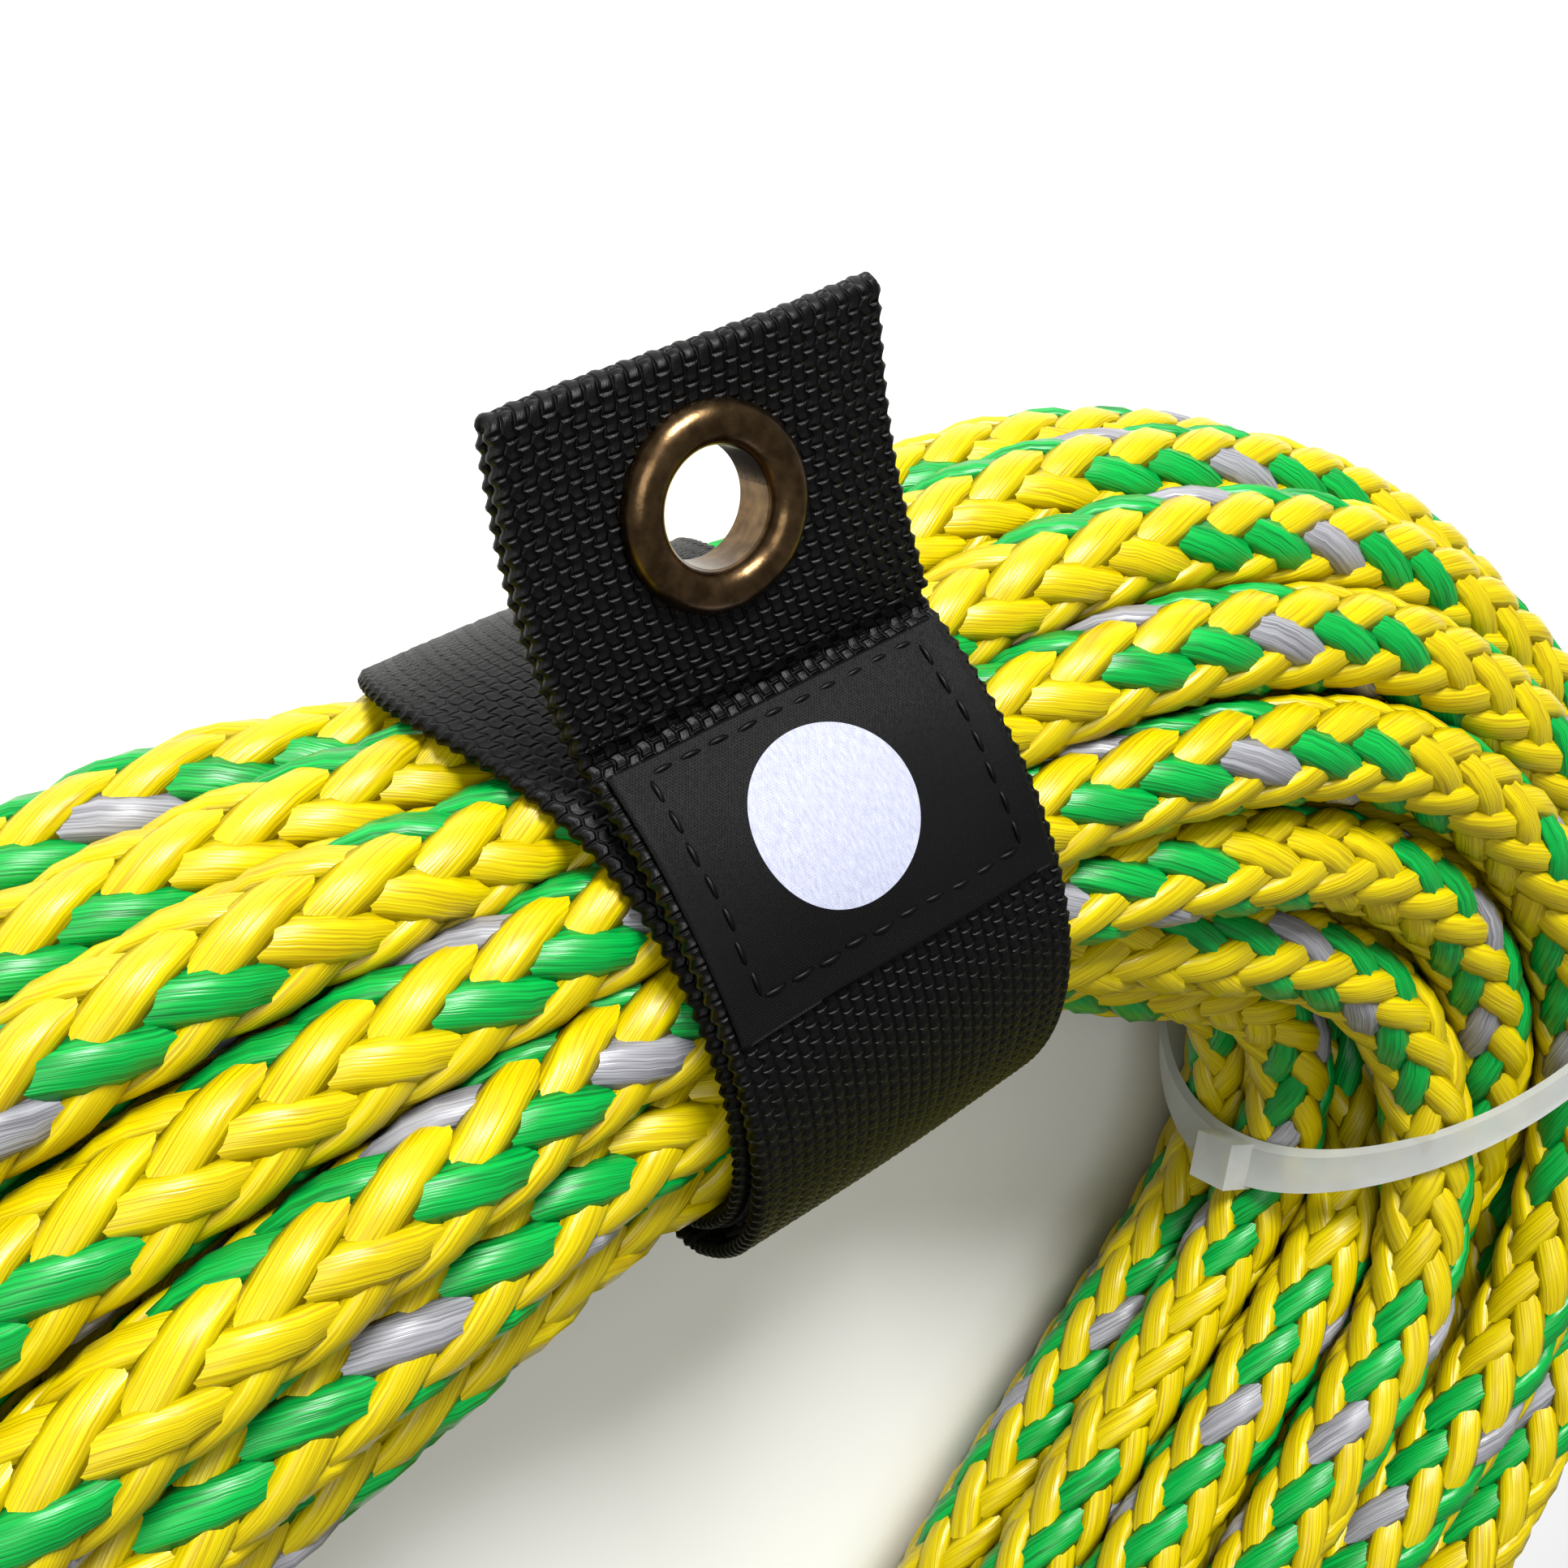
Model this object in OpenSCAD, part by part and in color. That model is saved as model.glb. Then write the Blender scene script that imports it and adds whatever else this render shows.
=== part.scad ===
// Coiled tube tow rope, held by a hook-and-loop rope keeper with a grommet tab and by a cable tie.
// The coil lies flat. +X runs along the leg that carries the keeper, +Y points out of the ring
// on the tab's side, +Z is up, and the origin is under the middle of the part on its resting plane.

/* [Rope] */
// Diameter of the hollow-braid rope
rope_d = 12; // [11:0.5:13]
// Radius of the bundle of turns
bundle_r = 36.5; // [35:0.5:38]
// Radius of the bundle where the keeper squeezes it
waist_r = 31; // [30.5:0.5:31.5]

/* [Ring] */
// Mean radius of the ring's tight end
bend_r = 65; // [62:1:68]
// Angle that the tight end turns through
bend_angle = 148; // [144:1:152]
// Mean radius of the gentle curve on the keeper's leg
lead_r = 187; // [170:1:210]
// Angle that the gentle curve turns through
lead_angle = 16; // [14:1:18]
// Straight length between the gentle curve and the far end
lead_len = 40; // [30:1:50]

/* [Keeper] */
// Width of the webbing
web_w = 38.1; // [36:0.1:40]
// Thickness of the webbing
web_t = 1.4; // [1.2:0.1:1.5]
// Thickness of the hook tape and of the loop tape
tape_t = 0.8; // [0.7:0.1:0.9]
// Length of the folded tab from its root to its fold
tab_len = 30.5; // [29:0.5:33]
// Slope of the tab above level
tab_tilt = 7; // [4:1:10]
// Height of the label along the webbing
label_h = 26; // [24:1:28]

/* [Grommet] */
// Hole through the grommet
hole_d = 10.4; // [9.6:0.1:10.8]
// Outside diameter of the grommet's flange
flange_d = 18.2; // [17:0.1:18.6]
// Distance from the tab's root to the hole's centre
hole_from_root = 17.6; // [16.5:0.1:18]
// How far the hole sits to the left of the tab's middle
hole_aside = 1.5; // [0:0.1:2]

/* [Cable tie] */
// Width of the tie's band
tie_w = 3.6; // [3:0.1:4.8]
// Thickness of the tie's band
tie_t = 1.1; // [1:0.1:1.3]

/* [Eyes] */
// Mean radius of the spliced eye at each end of the rope
eye_r = 24; // [22:1:25]
// Length of the splice behind an eye
splice_len = 42; // [36:1:44]
// Diameter of the rope where its tail is buried in it
splice_d = 15; // [14:0.5:15]

/* [Hidden] */

rope_yellow = "#ead20c";
web_black = "#101011";
thread_black = "#1c1c1e";
brass_brown = "#6b5433";
nylon_white = "#dfe3e4";

$fn = 96;
body_gap = 0.3; // between solids of different bodies
slide_room = 5; // how far the keeper can be pushed along the leg, with 1 mm to spare
bite = 0.2; // how deep solids of one body sink into each other

// The waist under the keeper, half its length, and the length over which the bundle flares.
waist_half = web_w / 2 + slide_room;
flare = 14;
straight_half = waist_half + flare;

// Corners of the ring, seen from above, from the keeper's middle: where the far end meets the
// keeper's leg, and where the tight end meets the rear leg. The rear leg runs to the far end,
// whose radius is the one that touches both legs.
lead_end = [
    -straight_half - lead_r * sin(lead_angle) - lead_len * cos(lead_angle),
    -lead_r * (1 - cos(lead_angle)) - lead_len * sin(lead_angle)
];
bend_end = [
    straight_half + bend_r * sin(bend_angle),
    -bend_r * (1 - cos(bend_angle))
];
lead_inward = [sin(lead_angle), -cos(lead_angle)];
rear_inward = [-sin(bend_angle), -cos(bend_angle)];
rear_along = [cos(bend_angle), -sin(bend_angle)];
far_r = (lead_end - bend_end) * rear_inward / (1 - lead_inward * rear_inward);
far_middle = lead_end + far_r * lead_inward;
rear_len = (far_middle - bend_end) * rear_along;
far_angle = 360 - bend_angle - lead_angle;

// The ring's extent, from the keeper's middle.
ring_left = far_middle[0] - far_r - bundle_r;
ring_right = straight_half + bend_r + bundle_r;
ring_front = far_middle[1] - far_r - bundle_r;

// Layers of the keeper, from the rope outwards.
wrap_in = waist_r + body_gap;
wrap_out = wrap_in + web_t;
loop_out = wrap_out + tape_t;
hook_in = loop_out + body_gap;
panel_in = hook_in + tape_t;
panel_out = panel_in + web_t;
label_t = 0.5;
label_out = panel_out + label_t;

// Angles around the leg, from +Y towards +Z.
root_angle = 45;
peel_angle = 163;
wrap_end_angle = 157;
tape_gap = 4; // angle from the tab's root to the tapes
tape_margin = 3; // how much narrower a tape is than the webbing
patch_margin = 1; // how much narrower the label is than the webbing
seam_angle = 2; // angle from a tape's edge to its seam
ramp_angle = 2.5;
root_gap = 3.2; // angle left free at the tab's root
label_start = root_angle + root_gap;
label_end = label_start + label_h / panel_out * 180 / PI;

hook_end_angle = wrap_end_angle - 6;

// The tab: two layers of webbing, folded at the tip.
tab_t = 2 * web_t;
tab_start = 0.6; // webbing left free at the root, where the tab bends
tab_rows = [2.4, 4.8]; // rows of stitches, from the root
root_y = (panel_in + web_t / 2) * cos(root_angle);
root_z = (panel_in + web_t / 2) * sin(root_angle);
tab_reach = root_y + (tab_len - tab_t / 2) * cos(tab_tilt) + tab_t / 2;

centre_x = (ring_left + ring_right) / 2;
centre_y = (ring_front + tab_reach) / 2;

// The grommet's flange, barrel, washer and the roll that clamps the washer.
flange_h = (flange_d - hole_d) / 4;
barrel_lip = 0.3; // how far the barrel reaches up inside the flange
barrel_wall = 0.5;
washer_t = 0.6;
roll_h = 0.7;
roll_w = 2.2;

// Stitches.
thread_d = 0.5;
stitch_len = 1.9;
stitch_pitch = 2.9;
stitch_inset = 3.2;
seam_inset = 1;
thread_sunk = thread_d / 2 - 0.05;

// The eyes lie in the ring's hole on the resting plane. For each: how far its middle is from the
// far end's centre, at which angle, and the direction in which its splice runs into the bundle.
start_eye = [42, 135, 105];
end_eye = [43, 228, 282];

// ---------- helpers ----------

// Children drawn around the middle of the keeper's leg, moved to their place in the part.
module at_keeper() {
    translate([-centre_x, -centre_y, bundle_r]) children();
}

// A band around the leg: inner and outer radius, width, and the angles it runs between.
module band(r_in, r_out, w, from, to) {
    rotate([90, 0, 90])
        rotate([0, 0, from])
            rotate_extrude(angle = to - from)
                translate([r_in, -w / 2])
                    square([r_out - r_in, w]);
}

// Children placed on the leg's surface at an angle, with +X along the leg and +Z outwards.
module on_leg(angle, r) {
    rotate([angle - 90, 0, 0])
        translate([0, 0, r])
            children();
}

// One stitch that lies along the leg, or across it.
module stitch(across = false) {
    rotate([0, 0, across ? 90 : 0])
        translate([-stitch_len / 2, -thread_d / 2, -thread_d / 2])
            cube([stitch_len, thread_d, thread_d]);
}

// Rows of stitches around a rectangle on the leg's surface.
module stitched_box(w, from, to, r) {
    rows = floor(w / stitch_pitch);
    arc_len = (to - from) * PI / 180 * r;
    columns = floor(arc_len / stitch_pitch);
    for (i = [0 : rows - 1]) {
        x = (i - (rows - 1) / 2) * w / rows;
        on_leg(from, r) translate([x, 0, 0]) stitch();
        on_leg(to, r) translate([x, 0, 0]) stitch();
    }
    for (i = [0 : columns - 1]) {
        angle = from + (i + 0.5) * (to - from) / columns;
        on_leg(angle, r) translate([-w / 2, 0, 0]) stitch(true);
        on_leg(angle, r) translate([w / 2, 0, 0]) stitch(true);
    }
}

// Children placed on the tab: +Y along it from its root, +Z out of its front.
module on_tab() {
    at_keeper()
        translate([0, root_y, root_z])
            rotate([tab_tilt, 0, 0])
                children();
}

// ---------- rope ----------

// The bundle of turns, in stretches that meet face to face.

// The short stretch that widens from the waist, along +Z.
module flare_stretch() {
    cylinder(r1 = waist_r, r2 = bundle_r, h = flare);
}

module rope_waist() {
    color(rope_yellow)
        at_keeper()
            rotate([0, 90, 0])
                cylinder(r = waist_r, h = 2 * waist_half, center = true);
}

module rope_leg_inner() {
    color(rope_yellow)
        at_keeper()
            translate([waist_half, 0, 0])
                rotate([0, 90, 0])
                    flare_stretch();
}

module rope_leg_front() {
    color(rope_yellow)
        at_keeper() {
            translate([-waist_half, 0, 0])
                rotate([0, -90, 0])
                    flare_stretch();
            translate([-straight_half, -lead_r, 0])
                rotate([0, 0, 90])
                    rotate_extrude(angle = lead_angle)
                        translate([lead_r, 0]) circle(bundle_r);
        }
}

module rope_leg_outer() {
    color(rope_yellow)
        at_keeper()
            translate([lead_end[0], lead_end[1], 0])
                rotate([0, 90, lead_angle])
                    cylinder(r = bundle_r, h = lead_len);
}

module rope_bend() {
    color(rope_yellow)
        at_keeper()
            translate([straight_half, -bend_r, 0])
                rotate([0, 0, 90 - bend_angle])
                    rotate_extrude(angle = bend_angle)
                        translate([bend_r, 0]) circle(bundle_r);
}

module rope_leg_rear() {
    color(rope_yellow)
        at_keeper()
            translate([bend_end[0], bend_end[1], 0])
                rotate([0, 90, -bend_angle])
                    cylinder(r = bundle_r, h = rear_len);
}

module rope_far_end() {
    color(rope_yellow)
        at_keeper()
            translate([far_middle[0], far_middle[1], 0])
                rotate([0, 0, 90 + lead_angle])
                    rotate_extrude(angle = far_angle)
                        translate([far_r, 0]) circle(bundle_r);
}

// Children moved to the middle of an eye on the resting plane, with +X along its splice.
module on_floor(eye) {
    at_keeper()
        translate([far_middle[0], far_middle[1], -bundle_r])
            rotate([0, 0, eye[1]])
                translate([eye[0], 0, 0])
                    rotate([0, 0, eye[2] - eye[1]])
                        children();
}

// The loop of a spliced eye.
module rope_eye(eye) {
    color(rope_yellow)
        on_floor(eye)
            translate([0, 0, rope_d / 2])
                rotate_extrude()
                    translate([eye_r, 0]) circle(d = rope_d);
}

// The thicker, spliced stretch behind an eye.
module rope_splice(eye) {
    reach = eye_r + rope_d / 2;
    color(rope_yellow)
        on_floor(eye)
            translate([reach, 0, splice_d / 2])
                rotate([0, 90, 0])
                    cylinder(d = splice_d, h = splice_len);
}

// ---------- keeper ----------

// The webbing's lower turn, with the ramp by which it climbs onto its own start.
module keeper_wrap() {
    color(web_black)
        at_keeper() {
            band(wrap_in, wrap_out, web_w, peel_angle + 1, wrap_end_angle + 360);
            band(wrap_out - bite, panel_out, web_w, peel_angle + 1, peel_angle + 1 + ramp_angle);
        }
}

module loop_tape() {
    color(thread_black)
        at_keeper()
            band(wrap_out, loop_out, web_w - tape_margin, root_angle + tape_gap, wrap_end_angle - 1);
}

module loop_tape_stitching() {
    color(thread_black)
        at_keeper()
            stitched_box(web_w - tape_margin - 2 * seam_inset, root_angle + tape_gap + seam_angle,
                wrap_end_angle - 1 - seam_angle, loop_out - thread_sunk);
}

module keeper_panel() {
    color(web_black)
        at_keeper()
            band(panel_in, panel_out, web_w, root_angle + root_gap, peel_angle - 1);
}

module hook_tape() {
    color(thread_black)
        at_keeper()
            band(hook_in, panel_in, web_w - tape_margin, root_angle + tape_gap, hook_end_angle);
}

module hook_tape_stitching() {
    color(thread_black)
        at_keeper()
            stitched_box(web_w - tape_margin - 2 * seam_inset, root_angle + tape_gap + seam_angle,
                hook_end_angle - seam_angle, hook_in + thread_sunk);
}

module label_patch() {
    color(web_black)
        at_keeper()
            band(panel_out, label_out, web_w - patch_margin, label_start, label_end);
}

module label_stitching() {
    inset_angle = stitch_inset / label_out * 180 / PI;
    color(thread_black)
        at_keeper()
            stitched_box(web_w - patch_margin - 2 * stitch_inset, label_start + inset_angle,
                label_end - inset_angle, label_out);
}

module keeper_tab() {
    color(web_black)
        on_tab()
            difference() {
                union() {
                    translate([-web_w / 2, tab_start, -tab_t / 2])
                        cube([web_w, tab_len - tab_t / 2 - tab_start, tab_t]);
                    translate([0, tab_len - tab_t / 2, 0])
                        rotate([0, 90, 0])
                            cylinder(d = tab_t, h = web_w, center = true);
                }
                translate([-hole_aside, hole_from_root, 0])
                    cylinder(d = hole_d + 2 * barrel_wall, h = 3 * tab_t, center = true);
            }
}

// Rows of stitches across the tab's root, which close the fold.
module tab_stitching() {
    count = floor((web_w - tape_margin) / stitch_pitch);
    color(thread_black)
        on_tab()
            for (row = tab_rows)
                for (i = [0 : count - 1])
                    translate([(i - (count - 1) / 2) * stitch_pitch, row, tab_t / 2])
                        stitch();
}

// ---------- grommet ----------

// The front flange with its barrel, which is rolled over the washer behind.
module grommet_eyelet() {
    back = -tab_t / 2 - washer_t - roll_h;
    color(brass_brown)
        on_tab()
            translate([-hole_aside, hole_from_root, 0])
                rotate_extrude() {
                    translate([hole_d / 2, back])
                        square([barrel_wall, tab_t / 2 + barrel_lip - back]);
                    translate([hole_d / 2, back])
                        square([roll_w, roll_h]);
                    intersection() {
                        translate([(hole_d + flange_d) / 4, tab_t / 2])
                            circle((flange_d - hole_d) / 4);
                        translate([0, tab_t / 2])
                            square([flange_d, flange_h]);
                    }
                }
}

module grommet_washer() {
    color(brass_brown)
        on_tab()
            translate([-hole_aside, hole_from_root, -tab_t / 2 - washer_t / 2])
                difference() {
                    cylinder(d = flange_d - roll_h, h = washer_t, center = true);
                    cylinder(d = hole_d + 2 * barrel_wall, h = 2 * washer_t, center = true);
                }
}

// ---------- cable tie ----------

// The tie lies in an upright plane that crosses the tight end at a slant.
tie_inner_angle = 120;
tie_slant = 19;
tie_head = [5.4, 6.5, 6.2];
tie_out = bundle_r - 0.1; // the tie sinks into the bundle

module cable_tie() {
    inner_r = bend_r - tie_out;
    tie_reach = 130;
    tie_height = 120;
    color(nylon_white)
        at_keeper()
            translate([straight_half, -bend_r, 0]) {
                intersection() {
                    difference() {
                        rotate_extrude()
                            translate([bend_r, 0]) circle(tie_out);
                        rotate_extrude()
                            translate([bend_r, 0]) circle(tie_out - tie_t);
                    }
                    rotate([0, 0, 90 - tie_inner_angle])
                        translate([inner_r, 0, 0])
                            rotate([0, 0, tie_slant - 90 + tie_inner_angle])
                                translate([-tie_reach / 10, -tie_w / 2, -tie_height / 2])
                                    cube([tie_reach, tie_w, tie_height]);
                }
                rotate([0, 0, 90 - tie_inner_angle])
                    translate([inner_r - tie_head[0] / 2 + tie_t, 0, 0])
                        cube(tie_head, center = true);
            }
}

rope_leg_front();
rope_waist();
rope_leg_inner();
rope_leg_outer();
rope_bend();
rope_leg_rear();
rope_far_end();
rope_eye(start_eye);  // rope_eye_start
rope_eye(end_eye);  // rope_eye_end
rope_splice(start_eye);  // rope_splice_start
rope_splice(end_eye);  // rope_splice_end
keeper_wrap();
loop_tape();
loop_tape_stitching();
keeper_panel();
hook_tape();
hook_tape_stitching();
label_patch();
label_stitching();
keeper_tab();
tab_stitching();
grommet_eyelet();
grommet_washer();
cable_tie();
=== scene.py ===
"""A coiled tube tow rope held by a hook-and-loop rope keeper and a cable tie."""

import math

import bpy
import numpy as np
from mathutils import Matrix, Vector


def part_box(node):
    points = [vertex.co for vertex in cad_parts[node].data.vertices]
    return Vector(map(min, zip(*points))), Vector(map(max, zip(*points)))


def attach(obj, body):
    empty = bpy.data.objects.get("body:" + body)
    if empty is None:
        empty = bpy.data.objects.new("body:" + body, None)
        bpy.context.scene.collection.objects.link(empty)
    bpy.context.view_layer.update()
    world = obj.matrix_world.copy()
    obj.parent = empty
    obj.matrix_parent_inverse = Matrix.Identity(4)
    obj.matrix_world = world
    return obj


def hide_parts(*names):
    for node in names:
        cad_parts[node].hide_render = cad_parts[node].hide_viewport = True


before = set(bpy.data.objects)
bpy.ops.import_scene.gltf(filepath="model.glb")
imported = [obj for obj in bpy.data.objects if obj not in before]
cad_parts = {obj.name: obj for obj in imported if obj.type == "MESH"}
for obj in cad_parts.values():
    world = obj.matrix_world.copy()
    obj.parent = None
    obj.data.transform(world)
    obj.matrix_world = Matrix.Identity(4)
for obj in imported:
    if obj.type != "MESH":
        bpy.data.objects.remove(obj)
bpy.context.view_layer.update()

scene = bpy.context.scene
bpy.ops.object.select_all(action="DESELECT")

# ---------------------------------------------------------------------------
# Sizes, in metres. The keeper's middle is the origin that the rope is laid from.
# ---------------------------------------------------------------------------

waist_low, waist_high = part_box("rope_waist")
KEEPER = (waist_low + waist_high) / 2

ROPE = 0.012
BUNDLE = 0.0365
WAIST = 0.031
TIED = 0.0351
STRAIGHT = 0.03805
BEND, BEND_TURN = 0.065, math.radians(148)
LEAD, LEAD_TURN = 0.187, math.radians(16)
OUTER = 0.040
REAR = 0.1431676
FAR, FAR_TURN = 0.0982258, math.radians(196)
STRETCHES = (
    (2 * STRAIGHT, None),
    (BEND * BEND_TURN, BEND),
    (REAR, None),
    (FAR * FAR_TURN, FAR),
    (OUTER, None),
    (LEAD * LEAD_TURN, LEAD),
)
AROUND = sum(length for length, _ in STRETCHES)
FAR_MIDDLE = np.array([-0.1009700, -0.1126902])
TIE_AT = 2 * STRAIGHT + BEND * math.radians(120)
STATIONS = 96
STEP = AROUND / STATIONS
TURNS = 22


def place(point):
    """A point given from the keeper's middle, in the frame of the whole part."""
    return KEEPER + Vector(point)


def smooth(t):
    t = np.clip(t, 0, 1)
    return t * t * (3 - 2 * t)


# ---------------------------------------------------------------------------
# Camera
# ---------------------------------------------------------------------------

camera_data = bpy.data.cameras.new("camera")
camera = bpy.data.objects.new("camera", camera_data)
scene.collection.objects.link(camera)
camera_data.lens = 39.1
camera_data.sensor_width = 36
camera_data.clip_start = 0.01
look_right = Vector((0.7987, -0.2660, 0.5397)).normalized()
look_back = Vector((-0.4293, 0.3764, 0.8209))
look_back = (look_back - look_right * look_back.dot(look_right)).normalized()
look_up = look_back.cross(look_right)
camera.matrix_world = Matrix.Translation(place((-0.0674, 0.0736, 0.1521))) @ Matrix(
    (look_right, look_up, look_back)
).transposed().to_4x4()
scene.camera = camera

# ---------------------------------------------------------------------------
# The rope's route
# ---------------------------------------------------------------------------


def ring_line(s):
    """Points of the ring's middle line at lengths s along it, and the outward direction there."""
    s = np.mod(s, AROUND)
    points, outward = np.zeros((len(s), 2)), np.zeros((len(s), 2))
    corner, heading, done = np.array([-STRAIGHT, 0.0]), 0.0, 0.0
    for length, radius in STRETCHES:
        here = (s >= done) & (s < done + length + 1e-12)
        t = s[here] - done
        ahead = np.array([math.cos(heading), math.sin(heading)])
        left = np.array([-ahead[1], ahead[0]])
        if radius is None:
            points[here] = corner + t[:, None] * ahead
            outward[here] = left
            corner = corner + length * ahead
        else:
            middle = corner - radius * left
            angle = heading + math.pi / 2 - t / radius
            outward[here] = np.stack([np.cos(angle), np.sin(angle)], 1)
            points[here] = middle + radius * outward[here]
            heading -= length / radius
            angle = heading + math.pi / 2
            corner = middle + radius * np.array([math.cos(angle), math.sin(angle)])
        done += length
    return points, outward


def far_place(degrees):
    """Length along the ring at an angle around the far end's centre."""
    return AROUND - OUTER - LEAD * LEAD_TURN - math.radians(degrees - 106) * FAR


FIRST = round((far_place(115) - AROUND) / STEP)
LAST = round(far_place(261.4) / STEP)
COUNT = 21 * STATIONS + LAST - FIRST + 1
ALONG = (FIRST + np.arange(COUNT)) * STEP


def room(s):
    """Radius that the bundle may take at lengths s along the ring."""
    s = np.mod(s, AROUND)
    away = s - STRAIGHT
    keeper = smooth((np.maximum(away, -away - 0.005) - 0.022) / 0.022)
    tie = smooth((np.abs(s - TIE_AT) - 0.003) / 0.030)
    return np.minimum(
        WAIST + (BUNDLE - WAIST) * keeper, TIED + (BUNDLE - TIED) * tie
    )


def sag(s, across):
    """How far ropes sag towards the inside of the ring, at lengths s and outward places: between
    the keeper and the tie, most on the inner side, and a little on the rear leg."""
    away = np.mod(s - STRAIGHT + AROUND / 2, AROUND) - AROUND / 2
    before = smooth((away - 0.018) / 0.045) * (1 - smooth((away - 0.080) / 0.075))
    after = smooth((away - 0.195) / 0.07) * (1 - smooth((away - 0.30) / 0.07))
    return 0.004 * before * (1 + smooth(-across / 0.03)) + 0.0035 * after


def lay_turns(seed=4, rounds=500):
    """Cross-section places (outward, up) of the rope at each station of each turn: the turns push
    each other apart, stay within the bundle and stay smooth along the rope."""
    rng = np.random.default_rng(seed)
    ring = [math.pi * 1.5 - 2 * math.pi * (i + 0.5) / 15 for i in range(15)]
    outer = [(0.0302 * math.cos(a), 0.0302 * math.sin(a)) for a in ring]
    hub = [math.radians(120 + 60 * i) for i in range(6)]
    inner = [(0.0165 * math.cos(a), 0.0165 * math.sin(a)) for a in hub]
    slots = np.array(outer[:7] + inner[:3] + [(0.0, 0.0)] + inner[3:] + outer[7:])
    order = np.argsort(np.arange(TURNS) + rng.normal(0, 1.3, TURNS))
    index = np.arange(COUNT)
    turn = index // STATIONS
    share = (index % STATIONS) / STATIONS
    moves_at = rng.uniform(0.25, 0.75, TURNS + 1)
    moves_over = rng.uniform(0.25, 0.5, TURNS + 1)
    moved = smooth((share - moves_at[turn]) / moves_over[turn] + 0.5)
    here = slots[order[np.minimum(turn, TURNS - 1)]]
    after = slots[order[np.minimum(turn + 1, TURNS - 1)]]
    places = here + (after - here) * moved[:, None]
    wander = rng.normal(0, 0.0022, (COUNT // 9 + 3, 2))
    knots = np.arange(len(wander)) * 9
    places += np.stack([np.interp(index, knots, wander[:, i]) for i in range(2)], 1)

    limit = room(ALONG) - ROPE / 2
    row, column = (index + FIRST % STATIONS) // STATIONS, (index + FIRST % STATIONS) % STATIONS
    entry = np.array([-0.004, -0.0295])
    humps = np.zeros(COUNT)
    for degrees in (117, 263):
        away = np.mod(ALONG - far_place(degrees) + AROUND / 2, AROUND) - AROUND / 2
        humps = np.maximum(humps, 0.0155 * np.exp(-((away / 0.015) ** 2)))
    humps[:4] = 0
    humps[-4:] = 0
    every = np.arange(TURNS + 1)
    for step in range(rounds):
        pull = np.zeros_like(places)
        pull[1:-1] = (places[:-2] + places[2:]) / 2 - places[1:-1]
        stiff = np.zeros_like(places)
        stiff[1:-1] = pull[1:-1] - 0.5 * (pull[:-2] + pull[2:])
        places += (0.2 if step < rounds * 0.6 else 0.075) * pull + 0.4 * stiff
        for end in (0, -1):
            places[end] = places[end] * 0.2 + 0.8 * entry
        for _ in range(3):
            table = np.full((TURNS + 1, STATIONS, 2), 1e3)
            table[row, column] = places
            gap = table[:, None] - table[None]
            apart = np.sqrt((gap**2).sum(-1)) + 1e-9
            short = np.where(apart < 50, np.clip(ROPE - apart, 0, None), 0)
            short[every, every] = 0
            push = (gap / apart[..., None] * short[..., None] * 0.5).sum(1)
            places += 0.7 * np.clip(push[row, column], -ROPE / 2, ROPE / 2)
            reach = np.sqrt((places**2).sum(1))
            places -= places / (reach[:, None] + 1e-9) * np.clip(reach - limit, 0, None)[:, None]
            low = -BUNDLE + ROPE / 2 + humps * np.clip((0.006 - places[:, 0]) / 0.008, 0, 1)
            places[:, 1] += 0.7 * np.clip(low - places[:, 1], 0, None)
    places[:, 0] -= sag(ALONG, places[:, 0])
    return places


def eye_route(middle_r, middle_deg, splice_deg):
    """From the tail's mouth in the splice, around the eye, and out along the splice."""
    a, d = math.radians(middle_deg), math.radians(splice_deg)
    middle = FAR_MIDDLE + middle_r * np.array([math.cos(a), math.sin(a)])
    along = np.array([math.cos(d), math.sin(d)])
    aside = np.array([-along[1], along[0]])
    flat = [middle + along * 0.050 + aside * 0.0015, middle + along * 0.041 + aside * 0.0045]
    for degrees in np.linspace(62, 298, 16):
        t = math.radians(degrees)
        flat.append(middle + 0.024 * (math.cos(t) * along + math.sin(t) * aside))
    flat += [middle + along * 0.041 - aside * 0.0045, middle + along * 0.050 - aside * 0.001]
    flat += [middle + along * 0.058]
    up = [-BUNDLE + ROPE / 2] * 19 + [-BUNDLE + 0.0065, -BUNDLE + 0.0070]
    return np.column_stack([np.array(flat), np.array(up)])


def even_spaced(points, spacing):
    """A smooth curve through the points, cut at even lengths."""
    before = np.vstack([2 * points[:1] - points[1:2], points[:-1]])[:-1]
    after = np.vstack([points[1:], 2 * points[-1:] - points[-2:-1]])[1:]
    here, following = points[:-1], points[1:]
    fine = []
    for t in np.arange(8) / 8:
        fine.append(
            0.5
            * (
                2 * here
                + (following - before) * t
                + (2 * before - 5 * here + 4 * following - after) * t**2
                + (3 * here - before - 3 * following + after) * t**3
            )
        )
    fine = np.stack(fine, 1).reshape(-1, 3)
    fine = np.vstack([fine, points[-1:]])
    run = np.concatenate([[0], np.cumsum(np.linalg.norm(np.diff(fine, axis=0), axis=1))])
    marks = np.linspace(0, run[-1], int(round(run[-1] / spacing)) + 1)
    return np.stack([np.interp(marks, run, fine[:, i]) for i in range(3)], 1)


def soften(points, first, last, passes):
    """Rounds the bends of a stretch of points by moving each towards its neighbours' middle."""
    for _ in range(passes):
        middle = (points[first - 1 : last - 1] + points[first + 1 : last + 1]) / 2
        points[first:last] += 0.5 * (middle - points[first:last])
    return points


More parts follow.
